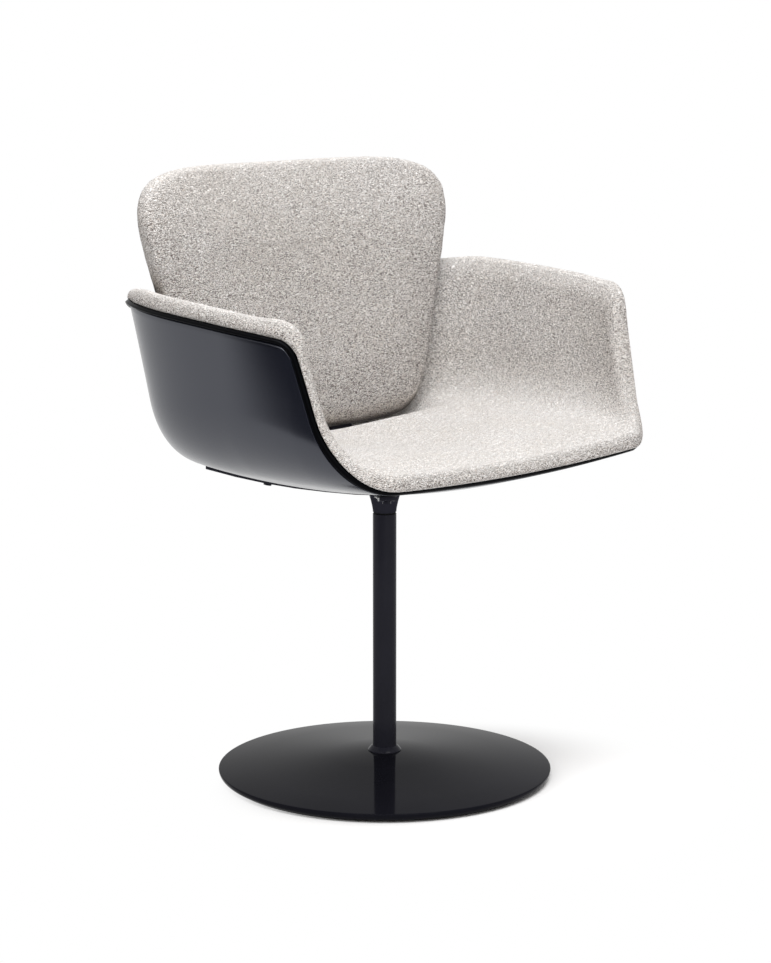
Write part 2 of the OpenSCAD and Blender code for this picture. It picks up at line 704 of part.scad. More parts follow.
module cushion_body() {
    n = cushion_sides;
    inner = len(ring_shares);
    rings = 2 * inner + 1;
    points = concat([[0, -cushion_t / 2, cushion_h / 2]],
        [for (r = ring_shares) each cushion_ring(r, -cushion_crown(r))],
        cushion_ring(1, 0),
        [for (m = [inner - 1:-1:0]) each cushion_ring(ring_shares[m], cushion_crown(ring_shares[m]))],
        [[0, cushion_t / 2, cushion_h / 2]]);
    last = 1 + n * rings;
    faces = concat([for (k = [0:n - 1]) [0, 1 + (k + 1) % n, 1 + k]],
        [for (m = [0:rings - 2], k = [0:n - 1]) let (a = 1 + m * n + k, b = 1 + m * n + (k + 1) % n)
            each [[a, b, a + n], [b, b + n, a + n]]],
        [for (k = [0:n - 1]) [last, 1 + (rings - 1) * n + k, 1 + (rings - 1) * n + (k + 1) % n]]);
    polyhedron(points, faces);
}

module back_cushion() {
    slot_top = board_z + 4 * board_corner + hanger_t;
    color("#d9d0c3") cushion_frame() difference() {
        cushion_body();
        translate([0, board_t / 2 + ease_gap, 0]) rotate([90, 0, 0])
            linear_extrude(board_t + 2 * ease_gap) board_outline(ease_gap);
        at_hangers() translate([-hanger_w / 2 - ease_gap, 0, -overrun])
            cube([hanger_w + 2 * ease_gap, board_t / 2 + hanger_t + ease_gap, hanger_rise + overrun + ease_gap]);
        at_hangers() translate([-board_screw_head_r - ease_gap, 0, -overrun])
            cube([2 * (board_screw_head_r + ease_gap), board_t / 2 + hanger_t + board_screw_head_h + ease_gap, slot_top]);
    }
}

base_disc();
glide_ring();
foot_ring();
column_tube();
tube_plug();
draw_bolt();
draw_washer();
lower_bush();
upper_bush();
swivel_shaft();
shaft_washer();
shaft_circlip();
collar();
star_bracket();
bracket_pads();
seat_screws();
thread_inserts();
outer_shell();
inner_shell();
seat_pad();
back_brackets();
bracket_rivets();
back_board();
board_screws();
back_cushion();
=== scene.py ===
import math

import bpy
import numpy as np
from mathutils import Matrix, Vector


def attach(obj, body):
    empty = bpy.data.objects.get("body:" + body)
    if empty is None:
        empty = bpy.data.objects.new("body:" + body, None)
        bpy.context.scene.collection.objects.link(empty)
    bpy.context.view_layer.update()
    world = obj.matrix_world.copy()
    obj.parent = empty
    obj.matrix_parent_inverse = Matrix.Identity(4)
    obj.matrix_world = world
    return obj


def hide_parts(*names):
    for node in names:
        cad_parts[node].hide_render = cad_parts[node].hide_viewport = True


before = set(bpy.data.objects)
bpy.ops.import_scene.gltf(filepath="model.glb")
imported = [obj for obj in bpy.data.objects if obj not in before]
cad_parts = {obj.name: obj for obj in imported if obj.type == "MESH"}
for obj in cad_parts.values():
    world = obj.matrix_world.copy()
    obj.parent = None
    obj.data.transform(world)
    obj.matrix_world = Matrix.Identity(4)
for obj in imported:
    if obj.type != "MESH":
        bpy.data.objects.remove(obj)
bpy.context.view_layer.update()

MM = 0.001
WELD = 0.001 * MM

# The seat shell, in millimetres, following the solids
SEAM_Z = 354.0
PAN_Z = 389.3
FOOT_HALF = 306.0
RIM_HALF = 328.0
FRONT_REACH = 229.0
REAR_REACH = 240.0
REAR_FOOT = 198.0
FRONT_RISE = 36.0
SIDE_RISE = 68.0
REAR_RISE = 22.0
ARM_FRONT_Z = 609.0
ARM_REAR_Z = 641.0
BEND_REAR = 44.0
MID_Y = -40.0
SPINE_REAR = 30.0
FRONT_FLAT = 0.76
NARROW = 0.055
PLAN_POWER = 3.35
RIM_POWER = 0.6
REAR_DIP = 30.0
DIP_SHARE = 0.66
SIDE_SHARE = 0.42
PAN_SHARE = 0.5
BEND_SHARE = 0.75
OUTER_T = 3.2
INNER_T = 3.2
EASE_GAP = 0.3
SHELL_T = OUTER_T + EASE_GAP + INNER_T
LIP_W = 7.0

# The arms' fronts, a little rounder than in the solids
ARM_REACH = 140.5
BEND_FRONT = 70.0
ARM_CORNER = 12.0
FRONT_STEP = 0.72
FRONT_EASE = 0.25

# How the edge's outline changes from the front, up the arms' fronts, to their tops and the rear
FRONT_UP_FROM = 0.8
FRONT_UP_RUN = 0.2
TOP_PLACES = (0, 0.03, 0.08, 0.16, 0.4)
TOP_FORMS = (1 / 3, 0.5, 0.667, 0.833, 1.0)
BEHIND_SHARE = 0.46
BEHIND_RUN = 0.31

# The padding and its rolled edge
PAD_T = 19.0
SEAT_EXTRA = 33.0
SEAT_FLAT = 0.2
ROLL_H = 17.0
ROLL_FRONT = 5.0
REAR_ROLL = 0.5
WALL_RUN = 680.0
ARM_RUN = 438.0
CORNER_FULL = 0.5
CORNER_DOWN = 22.0
CORNER_BACK = 40.0
CORNER_SMOOTH = 16
FRONT_OVERHANG = 4.2
OVERHANG_FROM = 0.66
OVERHANG_RUN = 0.1
REST_Y = 95.0
REST_RUN = 60.0
REST_HALF = 196.0
REST_SIDE = 50.0
REST_DIP = 0.25
REST_WALL = 0.6

# The back cushion
CUSHION_TOP = 606.0
CUSHION_BOTTOM = 390.0
CUSHION_H = 361.0
CUSHION_T = 57.0
CUSHION_SLIM = 2.5
CUSHION_Y = 145.0
CUSHION_Z = 445.0
CUSHION_LEAN = math.radians(8.76)
CUSHION_WRAP = 42.0
CUSHION_LOWER = 0.86
TOP_POWER = 4.7
BOTTOM_POWER = 8.0
EDGE_POWER = 4.8
CROWN_POWER = 0.275
CUSHION_SIDES = 120
CUSHION_RINGS = (0.12, 0.25, 0.38, 0.5, 0.6, 0.7, 0.78, 0.85, 0.9, 0.94, 0.97, 0.985, 0.995)
CUSHION_FACE = 6.0
SEWN_FROM = 0.93
SEWN_RUN = 0.06
SWELL_CAP = 4.5
SWELL_PRESSURE = 4.0
SWELL_FRAMES = 20
SWELL_STEPS = 5

# The base, column and collar
BASE_R = 220.0
RIM_Z = 12.0
RIM_ROUND = 1.2
UNDERCUT = 9.0
GLIDE_T = 2.0
GLIDE_IN_R = 194.0
HOLLOW_R = 190.0
HOLLOW_Z = 7.0
HUB_Z = 33.0
HUB_R = 23.0
HUB_DEPTH = 16.0
HUB_SPREAD = 6.0
HUB_SPREAD_Z = 19.0
COLUMN_R = 15.5
COLUMN_WALL = 3.0
COLUMN_FOOT = 22.0
COLUMN_TOP = 352.4
COLUMN_EASE = 0.05
EDGE_BREAK = 0.5
TURN_GAP = 0.3
COLLAR_TOP_R = 20.6
COLLAR_BORE_R = 10.05
COLLAR_H = 24.0
COLLAR_NECK = 2.0
COLLAR_POWER = 1.3
COLLAR_STEPS = 14
FLARE_R = 22.0
FLARE_H = 7.0
FLARE_FOOT = 0.9
FLARE_FOOT_TOP = 1.5
FLARE_FOOT_IN = 0.4
FLARE_LIP = 1.0
FLARE_LIP_OUT = 1.6
TURNED_BEND = math.radians(32)

# The star bracket's arms and its plate's edges
BRACKET_KEEP = 8.0
BRACKET_WAIST = 0.35
WAIST_FROM = 34.0
WAIST_RUN = 26.0
PLATE_FLAT = math.radians(1.5)
PLATE_BEND = math.radians(30)
PLATE_CORNER = math.radians(50)

# The wool's features per metre, their shape and height, the share of the painted hollow shade that a level
# face loses, and how far the painted shade in its crevices reaches, in millimetres
LOOP_SHAPE = (0.5, 0.7, 1.3)
LOOP_SCALE = 640
THREAD_SCALE = 980
YARN_SCALE = 860
DRIFT_SCALE = 150
DRIFT = 0.006
CLOUD_SCALE = 9
WOOL_RELIEF = 5.0
LOOP_HEIGHT = 0.45
THREAD_HEIGHT = 1.3
WOOL_BASE = 0.2
LEVEL_SHADE_LOSS = 0.72
SEAT_CREVICE = 6.0
CUSHION_CREVICE = 40.0

# The wool's colours: the yarn's own, then painted shade for the hollows between its loops and painted shade
# for its crevices and nooks
OAT = (0.76, 0.69, 0.635)
ECRU = (0.93, 0.89, 0.855)
CREAM = (0.985, 0.96, 0.94)
IVORY = (1.0, 0.985, 0.97)
WHITE = (1.0, 1.0, 1.0)
CLOUD = (0.97, 0.96, 0.945)
LOOP_HOLLOW_SHADE = (0.085, 0.058, 0.047)
LOOP_SIDE_SHADE = (0.91, 0.865, 0.835)
SEAT_NOOK_SHADE = (0.08, 0.065, 0.055)
CUSHION_NOOK_SHADE = (0.03, 0.022, 0.017)
CUSHION_DUSK_SHADE = (0.14, 0.11, 0.09)
CUSHION_SHADE = (0.80, 0.74, 0.67)

# The camera, which looks as the photograph's did, in metres and degrees, its lens in millimetres
CAMERA_PLACE = (-2.4343, -2.3508, 1.0023)
CAMERA_PITCH = 10.19
CAMERA_TURN = 46.0
CAMERA_LENS = 98.68
CAMERA_SENSOR = 36.0
CAMERA_SHIFT = 0.0009
CAMERA_CLIP = 100.0

# The studio's floor, flag, lamps and sky, in metres and watts
FLOOR_SIDE = 40.0
FLOOR_DROP = 0.0004
SHADOW_X = 0.02
SHADOW_Y = -0.13
SHADOW_NEAR = 0.19
SHADOW_FAR = 0.345
FLAG_X = -1.25
FLAG_Y = -0.3
FLAG_LENGTH = 3.0
FLAG_HEIGHT = 1.2
FLAG_DARK_Y = 0.1
FLAG_CLEAR_Y = 1.0
LAMP_AIM = (0, 0, 0.45)
OVERHEAD_PLACE = (-0.55, -0.75, 2.5)
OVERHEAD_SIDE = 2.0
OVERHEAD_WATTS = 76
LEFT_PLACE = (-2.6, -0.6, 1.9)
LEFT_SIDE = 1.6
LEFT_WATTS = 7
SKY_LIGHT = (1.0, 0.98, 0.965)
SKY_STRENGTH = 0.60


# The seat's surface

def lerp(a, b, t):
    return a + (b - a) * t


def ease(t):
    """Takes 0 to 1 onto itself with a level start and end."""
    held = np.clip(t, 0.0, 1.0)
    return held * held * (3.0 - 2.0 * held)


def by_zone(across, on_pan, in_bend, on_wall):
    """Picks the value for the pan, for the bend beside it or for the wall."""
    return np.where(across < PAN_SHARE, on_pan, np.where(across < BEND_SHARE, in_bend, on_wall))


def pan_height(x, y):
    ahead = np.maximum(0.0, -y) / FRONT_REACH
    side = SIDE_RISE * (x / FOOT_HALF) ** 2 * (1.0 - FRONT_FLAT * ahead * ahead)
    ends = np.where(y < 0, FRONT_RISE * ahead * ahead, REAR_RISE * (y / REAR_FOOT) ** 2)
    return PAN_Z + side + ends


def rim_height(y):
    back = np.clip((y + ARM_REACH) / (REAR_REACH + ARM_REACH), 0.0, 1.0)
    dip = REAR_DIP * ease((y / REAR_REACH - DIP_SHARE) / (1 - DIP_SHARE))
    return lerp(ARM_FRONT_Z, ARM_REAR_Z, back ** RIM_POWER) - dip


def seat_point(along, across):
    """Outer face of the shell: along runs from front edge to rear, across from the spine to the rim."""
    along, across = np.broadcast_arrays(np.asarray(along, float), np.asarray(across, float))
    wall = ARM_FRONT_Z - PAN_Z - SIDE_RISE
    lean = RIM_HALF - FOOT_HALF
    bend = lerp(BEND_FRONT, BEND_REAR, ease(along))
    rise = bend / wall
    flat = 1.0 - bend / FOOT_HALF
    on_pan = across / PAN_SHARE
    in_bend = (across - PAN_SHARE) / (BEND_SHARE - PAN_SHARE)
    on_wall = (across - BEND_SHARE) / (1.0 - BEND_SHARE)
    up_wall = lerp(rise, 1.0, on_wall)
    half = by_zone(across, (FOOT_HALF - bend) * on_pan,
                   FOOT_HALF - bend * (1 - in_bend) ** 2 + lean * rise * in_bend ** 2,
                   FOOT_HALF + lean * up_wall)
    climb = by_zone(across, 0.0, rise * in_bend ** 2, up_wall)
    run = by_zone(across, flat * on_pan,
                  flat * (1 - in_bend) ** 2 + 2 * in_bend * (1 - in_bend) + in_bend ** 2, 1.0)
    back_in_bend = FRONT_STEP * lerp(np.clip(in_bend, 0, 1), ease(in_bend), FRONT_EASE)
    back_on_wall = (1 - FRONT_STEP) * np.clip(on_wall, 0, 1)
    front_y = -lerp(FRONT_REACH, ARM_REACH, back_in_bend + back_on_wall)
    rear_y = lerp(SPINE_REAR, REAR_FOOT, run) + (REAR_REACH - REAR_FOOT) * climb
    ahead = 1.0 - along / SIDE_SHARE
    turn = np.clip((along - SIDE_SHARE) / (1.0 - SIDE_SHARE), 0.0, 1.0) * math.pi / 2
    x = np.where(along < SIDE_SHARE, half * (1 - NARROW * ahead * ahead),
                 half * np.maximum(0.0, np.cos(turn)) ** (2 / PLAN_POWER))
    y = np.where(along < SIDE_SHARE, lerp(MID_Y, front_y, ahead),
                 MID_Y + (rear_y - MID_Y) * np.maximum(0.0, np.sin(turn)) ** (2 / PLAN_POWER))
    x = np.where(along >= 1.0, 0.0, x)
    z = lerp(pan_height(x, y), rim_height(y), climb)
    return np.stack([x, y, z], -1)


def seat_normal(along, across, step=0.002, reach=0.5):
    """Unit normals of that face, pointing out of the shell."""
    along, across = np.broadcast_arrays(np.asarray(along, float), np.asarray(across, float))
    rearwards = (seat_point(np.minimum(1.0, along + step), across)
                 - seat_point(np.maximum(0.0, along - step), across))
    rimwards = (seat_point(along, np.minimum(1.0, across + step))
                - seat_point(along, np.maximum(0.0, across - step)))
    wall = np.cross(rearwards, rimwards)
    x, y, _ = np.moveaxis(seat_point(along, across), -1, 0)
    slope_x = (pan_height(x + reach, y) - pan_height(x - reach, y)) / (2 * reach)
    slope_y = (pan_height(x, y + reach) - pan_height(x, y - reach)) / (2 * reach)
    pan = np.stack([slope_x, slope_y, -np.ones_like(slope_x)], -1)
    normal = np.where((across <= PAN_SHARE)[..., None], pan, wall)
    normal[..., 0] = np.where(along >= 1.0, 0.0, normal[..., 0])
    return normal / (np.linalg.norm(normal, axis=-1, keepdims=True) + 1e-12)


class SeatGrid:
    """A fine grid of the seat's surface with its edge, shared by the two shells and the padding."""

    CORNER_ROWS = 10
    FRONT_ROWS = 24
    REAR_ROWS = 52
    PAN_COLS = 20
    BEND_COLS = 16
    WALL_COLS = 14

    def __init__(self):
        corner = SIDE_SHARE * ARM_CORNER / (ARM_REACH + MID_Y)
        round_off = np.linspace(0, math.pi / 2, self.CORNER_ROWS, endpoint=False)
        swing = np.linspace(0, math.pi / 2, self.REAR_ROWS + 1)
        turn = np.arctan2(np.sin(swing) ** (PLAN_POWER / 2), np.cos(swing) ** (PLAN_POWER / 2))
        rows = np.concatenate([corner * (1 - np.cos(round_off)),
                               np.linspace(corner, SIDE_SHARE, self.FRONT_ROWS, endpoint=False),
                               SIDE_SHARE + (1 - SIDE_SHARE) * turn / (math.pi / 2)])
        rows[-1] = 1.0
        half = np.concatenate([np.linspace(0, PAN_SHARE, self.PAN_COLS, endpoint=False),
                               np.linspace(PAN_SHARE, BEND_SHARE, self.BEND_COLS, endpoint=False),
                               np.linspace(BEND_SHARE, 1, self.WALL_COLS + 1)])
        columns = np.concatenate([-half[:0:-1], half])
        self.rows, self.cols = len(rows), len(columns)
        along, signed = np.meshgrid(rows, columns, indexing="ij")
        self.along = along
        self.across = self._rounded(along, np.abs(signed), corner)
        self.points = seat_point(along, self.across)
        self.normals = seat_normal(along, self.across)
        hand = np.where(signed < 0, -1.0, 1.0)
        self.points[..., 0] *= hand
        self.normals[..., 0] *= hand
        self._find_edge()

    def _rounded(self, along, across, corner):
        """Draws the wall's top down near the front edge, which rounds the arm's upper corner."""
        wall = ARM_FRONT_Z - PAN_Z - SIDE_RISE
        round_off = 1 - np.sqrt(np.maximum(0, 1 - (1 - along / corner) ** 2))
        drop = np.where(along < corner, ARM_CORNER / (wall - BEND_FRONT) * round_off, 0.0)
        return np.where(across > BEND_SHARE, lerp(BEND_SHARE, across, 1 - drop), across)

    def index(self, i, j):
        return i * self.cols + j

    def _find_edge(self):
        """Walks the grid's edge once round, and says at each place which way is out and how far along."""
        cells = [(0, j) for j in range(self.cols)]
        cells += [(i, self.cols - 1) for i in range(1, self.rows)]
        cells += [(i, 0) for i in range(self.rows - 2, 0, -1)]
        self.edge = cells
        points = np.array([self.points[cell] for cell in cells])
        normals = np.array([self.normals[cell] for cell in cells])
        tangent = np.roll(points, -1, 0) - np.roll(points, 1, 0)
        out = np.cross(normals, tangent)
        out /= np.linalg.norm(out, axis=1, keepdims=True)
        for _ in range(2):
            out = (np.roll(out, 1, 0) + 2 * out + np.roll(out, -1, 0)) / 4
        self.edge_points, self.edge_normals = points, normals
        self.edge_out = out / np.linalg.norm(out, axis=1, keepdims=True)
        self.edge_along = np.array([self.along[cell] for cell in cells])
        self.edge_across = np.array([self.across[cell] for cell in cells])
        self.edge_on_front = np.array([i == 0 for i, _ in cells])
        up_front = np.clip((self.edge_across - FRONT_UP_FROM) / FRONT_UP_RUN, 0, 1) * TOP_FORMS[0]
        on_top = np.interp(self.edge_along / SIDE_SHARE, TOP_PLACES, TOP_FORMS)
        self.edge_form = ease(np.where(self.edge_on_front, up_front, on_top))
        self.edge_behind = ease((points[:, 1] / REAR_REACH - BEHIND_SHARE) / BEHIND_RUN)


def smooth_line(points, count):
    """A smooth line through a few points, by Catmull and Rom's rule."""
    pts = np.array(points, float)
    pts = np.concatenate([[2 * pts[0] - pts[1]], pts, [2 * pts[-1] - pts[-2]]])
    spans = len(pts) - 3
    line = []
    for t in np.linspace(0, spans, count):
        k = min(int(t), spans - 1)
        u = t - k
        a, b, c, d = pts[k:k + 4]
        line.append(0.5 * (2 * b + (c - a) * u + (2 * a - 5 * b + 4 * c - d) * u * u
                           + (3 * b - a - 3 * c + d) * u ** 3))
    return np.array(line)


def mesh_piece(name, points_mm, faces):
    mesh = bpy.data.meshes.new(name)
    mesh.from_pydata([tuple(point) for point in np.asarray(points_mm) * MM], [], faces)
    piece = bpy.data.objects.new(name, mesh)
    bpy.context.scene.collection.objects.link(piece)
    only(piece)
    bpy.ops.object.mode_set(mode="EDIT")
    bpy.ops.mesh.select_all(action="SELECT")
    bpy.ops.mesh.remove_doubles(threshold=WELD)
    bpy.ops.mesh.normals_make_consistent(inside=False)
    bpy.ops.object.mode_set(mode="OBJECT")
    bpy.ops.object.shade_smooth()
    return piece


def only(piece):
    """Leaves one piece selected and active."""
    bpy.ops.object.select_all(action="DESELECT")
    piece.select_set(True)
    bpy.context.view_layer.objects.active = piece


def edge_lines(grid, front, top, rear):
    """The edge's outline at each place along it, blended from the front's, the arms' and the rear's."""
    form, behind = grid.edge_form[None, :, None], grid.edge_behind[None, :, None]
    return lerp(lerp(front[:, None], top[:, None], form), rear[:, None], behind)


def seat_skin(name, grid, depth_out, depth_in, lines):
    """A closed skin between two depths of the seat's surface, with its edge along the given lines."""
    n = grid.rows * grid.cols
    surface, normals = grid.points.reshape(-1, 3), grid.normals.reshape(-1, 3)
    outer = surface - normals * depth_out
    inner = surface - normals * np.broadcast_to(depth_in, grid.along.shape).reshape(-1, 1)
    rings = [grid.edge_points + grid.edge_out * q[:, :1] - grid.edge_normals * q[:, 1:] for q in lines]
    faces = []
    for i in range(grid.rows - 1):
        for j in range(grid.cols - 1):
            a, b = grid.index(i, j), grid.index(i, j + 1)
            c, d = grid.index(i + 1, j + 1), grid.index(i + 1, j)
            faces.append((a, b, c, d))
            faces.append((a + n, d + n, c + n, b + n))
    count = len(grid.edge)
    first = [grid.index(*cell) for cell in grid.edge]
    chain = [first] + [[2 * n + m * count + k for k in range(count)] for m in range(len(rings))]
    chain.append([k + n for k in first])
    for low, high in zip(chain, chain[1:]):
        for k in range(count):
            m = (k + 1) % count
            faces.append((low[k], high[k], high[m], low[m]))
    return mesh_piece(name, np.concatenate([outer, inner] + rings), faces)


def lip_line(points):
    """The inner shell's edge: widths in lips, depths in shells."""
    return smooth_line([(a * LIP_W, b * SHELL_T) for a, b in points], 10)


def roll_line(points, reach):
    """The padding's edge: widths in reaches from the lip, depths in pad thicknesses."""
    return smooth_line([(LIP_W + EASE_GAP + a * reach, SHELL_T + EASE_GAP + b * PAD_T)
                        for a, b in points], 18)


def make_outer_shell(grid):
    edge = smooth_line([(0.0, 0.5), (0.25, 1.6), (0.0, 2.7)], 5)
    return seat_skin("moulded_outer_shell", grid, 0.0, OUTER_T, edge_lines(grid, edge, edge, edge))


def make_inner_shell(grid):
    front = lip_line([(0.08, 0.5), (0.12, 0.18), (0.45, 0.06), (0.85, 0.28), (0.97, 0.68), (1, 1)])
    top = lip_line([(0.08, 0.48), (0.1, -0.1), (0.5, -0.8), (0.92, -0.15), (1, 0.55), (1, 1)])
    return seat_skin("moulded_inner_shell", grid, OUTER_T + EASE_GAP, SHELL_T,
                     edge_lines(grid, front, top, top))


def cushion_curve(x):
    return CUSHION_WRAP * (2 * x / CUSHION_TOP) ** 2


def padding_depth(grid):
    """Depth of the padding's inside, thicker on the seat and thinner where the back cushion rests."""
    x, y = grid.points[..., 0], grid.points[..., 1]
    ahead = np.clip(-y / FRONT_REACH, 0, 1)
    beside = ease((np.abs(x) - REST_HALF) / REST_SIDE)
    rest = ease((y + cushion_curve(x) - REST_Y) / REST_RUN) * (1 - beside)
    wall = 1 - ease((grid.across - REST_WALL) / SIDE_SHARE)
    seat = 1 - ease((grid.across - SEAT_FLAT) / PAN_SHARE)
    return (SHELL_T + EASE_GAP + PAD_T * (1 - REST_DIP * rest * wall)
            + SEAT_EXTRA * seat * (1 - ahead ** 3) * (1 - rest))


def make_seat_padding(grid):
    """The padding and its rolled edge, fuller at the arms' corners and drawn outwards up their fronts."""
    front = roll_line([(0, 0), (0.4, -0.12), (0.9, -0.02), (1, 0.25), (0.8, 0.65), (0.1, 0.92)], ROLL_FRONT)
    over = [(0, 0), (-0.06, -0.3), (0.25, -0.42), (0.85, -0.2), (1, 0.2), (0.7, 0.7)]
    lines = edge_lines(grid, front, roll_line(over, ROLL_H), roll_line(over, ROLL_H * REAR_ROLL))
    from_corner = np.where(grid.edge_on_front, (1 - grid.edge_across) * WALL_RUN, grid.edge_along * ARM_RUN)
    spread = np.where(grid.edge_on_front, CORNER_DOWN, CORNER_BACK)
    full = 1 + CORNER_FULL * np.exp(-(from_corner / spread) ** 2)
    for _ in range(CORNER_SMOOTH):
        full = (np.roll(full, 1) + 2 * full + np.roll(full, -1)) / 4
    start = LIP_W + EASE_GAP
    lines[..., 0] = start + (lines[..., 0] - start) * full[None]
    bulge = np.sin(np.linspace(0, math.pi, len(lines)))[:, None]
    up_front = ease((grid.edge_across - OVERHANG_FROM) / OVERHANG_RUN)
    up_arm = np.where(grid.edge_on_front, up_front, 1.0) * (1 - grid.edge_form)
    lines[..., 1] -= FRONT_OVERHANG * bulge * up_arm[None]
    return seat_skin("seat_upholstery", grid, SHELL_T + EASE_GAP, padding_depth(grid), lines)


# The back cushion

def cushion_outline(angle, reach):
    power = np.where(np.sin(angle) >= 0, TOP_POWER, BOTTOM_POWER)
    r = reach * (np.abs(np.cos(angle)) ** power + np.abs(np.sin(angle)) ** power) ** (-1 / power)
    up = CUSHION_H / 2 * (1 + r * np.sin(angle))
    half = lerp(CUSHION_BOTTOM, CUSHION_TOP, up / CUSHION_H) / 2
    return half * r * np.cos(angle), up


def cushion_ring(angle, reach, side):
    """One ring of the cushion's front (side -1), sewn edge (0) or back (1)."""
    x, up = cushion_outline(angle, reach)
    crown = max(0.0, 1 - reach ** EDGE_POWER) ** CROWN_POWER
    thick = (CUSHION_T / 2 - CUSHION_SLIM) * lerp(CUSHION_LOWER, 1, up / CUSHION_H)
    y = side * crown * thick - cushion_curve(x)
    lean_y = CUSHION_Y + y * math.cos(CUSHION_LEAN) + up * math.sin(CUSHION_LEAN)
    lean_z = CUSHION_Z - y * math.sin(CUSHION_LEAN) + up * math.cos(CUSHION_LEAN)
    return np.stack([x, lean_y, lean_z], -1)


def make_cushion():
    """The cushion's cover, cut a little slim and then filled out by the cloth simulation."""
    sides = CUSHION_SIDES
    angle = np.linspace(0, 2 * math.pi, sides, endpoint=False)
    rings = [cushion_ring(angle, reach, -1) for reach in CUSHION_RINGS]
    rings.append(cushion_ring(angle, 1.0, 0))
    rings += [cushion_ring(angle, reach, 1) for reach in reversed(CUSHION_RINGS)]
    poles = [cushion_ring(np.zeros(1), 0.0, side) for side in (-1, 1)]
    faces = []
    for m in range(len(rings) - 1):
        for k in range(sides):
            a, b = m * sides + k, m * sides + (k + 1) % sides
            faces.append((a, b, b + sides, a + sides))
    last = (len(rings) - 1) * sides
    pole = len(rings) * sides
    for k in range(sides):
        faces.append((pole, (k + 1) % sides, k))
        faces.append((pole + 1, last + k, last + (k + 1) % sides))
    cushion = mesh_piece("back_cushion_cover", np.concatenate(rings + poles), faces)
    remesh = cushion.modifiers.new("even_faces", "REMESH")
    remesh.mode = "VOXEL"
    remesh.voxel_size = CUSHION_FACE * MM
    remesh.use_smooth_shade = True
    bpy.ops.object.modifier_apply(modifier=remesh.name)
    hold_outline(cushion)
    swell(cushion)
    finer = cushion.modifiers.new("finer", "SUBSURF")
    finer.levels = finer.render_levels = 1
    bpy.ops.object.modifier_apply(modifier=finer.name)
    bpy.ops.object.shade_smooth()
    return cushion


def hold_outline(cushion):
    """Marks the seam round the cushion, which the sewn edge keeps in place while the faces fill out."""
    seam = cushion.vertex_groups.new(name="sewn_edge")
    at = vertices_of(cushion.data) / MM
    depth, rise = at[:, 1] - CUSHION_Y, at[:, 2] - CUSHION_Z
    up = (depth * math.sin(CUSHION_LEAN) + rise * math.cos(CUSHION_LEAN)) / CUSHION_H
    half = lerp(CUSHION_BOTTOM, CUSHION_TOP, up) / 2
    power = np.where(up > 0.5, TOP_POWER, BOTTOM_POWER)
    reach = (np.abs(at[:, 0] / half) ** power + np.abs(2 * up - 1) ** power) ** (1 / power)
    hold = ease((reach - SEWN_FROM) / SEWN_RUN)
    for index in np.nonzero(hold > 0)[0]:
        seam.add([int(index)], float(hold[index]), "REPLACE")


def vertices_of(mesh):
    co = np.empty(len(mesh.vertices) * 3)
    mesh.vertices.foreach_get("co", co)
    return co.reshape(-1, 3)


def swell(piece):
    """Swells a closed cover like a filled cushion, each point held to a short way from its start."""
    scene = bpy.context.scene
    start = vertices_of(piece.data)
    cloth = piece.modifiers.new("filling", "CLOTH")
    cloth.settings.use_pressure = True
    cloth.settings.uniform_pressure_force = SWELL_PRESSURE
    cloth.settings.effector_weights.gravity = 0.0
    cloth.settings.quality = SWELL_STEPS
    cloth.settings.vertex_group_mass = piece.vertex_groups[0].name
    cloth.point_cache.frame_start = 1
    cloth.point_cache.frame_end = SWELL_FRAMES
    for number in range(1, SWELL_FRAMES + 1):
        scene.frame_set(number)
    evaluated = piece.evaluated_get(bpy.context.evaluated_depsgraph_get())
    end = vertices_of(evaluated.data)
    piece.modifiers.remove(cloth)
    move = end - start
    length = np.linalg.norm(move, axis=1, keepdims=True)
    held = start + move * np.minimum(1.0, SWELL_CAP * MM / np.maximum(length, 1e-9))
    piece.data.vertices.foreach_set("co", held.ravel())
    piece.data.update()
    scene.frame_set(1)


# Turned pieces and the bracket

def turned(name, profile, sides=128):
    """Turns a closed outline of (radius, height) round the axis, ring by ring."""
    bpy.ops.object.select_all(action="DESELECT")
    radius, height = profile[0]
    bpy.ops.mesh.primitive_circle_add(vertices=sides, radius=radius * MM, location=(0, 0, 0))
    piece = bpy.context.object
    piece.name = piece.data.name = name
    bpy.ops.object.mode_set(mode="EDIT")
    bpy.ops.mesh.select_all(action="SELECT")
    bpy.ops.transform.translate(value=(0, 0, height * MM))
    for r, z in profile[1:] + profile[:1]:
        bpy.ops.mesh.extrude_region_move(TRANSFORM_OT_translate={"value": (0, 0, (z - height) * MM)})
        scale = r / radius
        bpy.ops.transform.resize(value=(scale, scale, 1), center_override=(0, 0, z * MM))
        radius, height = r, z
    bpy.ops.mesh.select_all(action="SELECT")
    bpy.ops.mesh.remove_doubles(threshold=WELD)
    bpy.ops.mesh.normals_make_consistent(inside=False)
    bpy.ops.object.mode_set(mode="OBJECT")
    bpy.ops.object.shade_smooth_by_angle(angle=TURNED_BEND)
    return piece


def make_base():
    """The disc: rim drawn in below and rounded above, a shallow cone up to the hub, hollow beneath."""
    belly = RIM_Z - RIM_ROUND - GLIDE_T
    under = [(BASE_R - UNDERCUT * (1 - math.sin(a)), GLIDE_T + belly * (1 - math.cos(a)))
             for a in np.radians(np.arange(0, 91, 9))]
    edge = [(BASE_R - RIM_ROUND * (1 - math.cos(a)), RIM_Z - RIM_ROUND * (1 - math.sin(a)))
            for a in np.radians(np.arange(18, 91, 18))]
    cone = [(lerp(BASE_R, HUB_R, t), lerp(RIM_Z, HUB_Z, t)) for t in (0.02, 0.25, 0.5, 0.75, 1.0)]
    bore = COLUMN_R + COLUMN_EASE
    hub = [(bore, HUB_Z), (bore, HUB_Z - HUB_DEPTH), (HUB_R, HUB_Z - HUB_DEPTH)]
    hollow = [(HUB_R + HUB_SPREAD, HUB_SPREAD_Z), (HOLLOW_R, HOLLOW_Z), (GLIDE_IN_R, GLIDE_T)]
    return turned("disc_base", under + edge + cone + hub + hollow, sides=192)


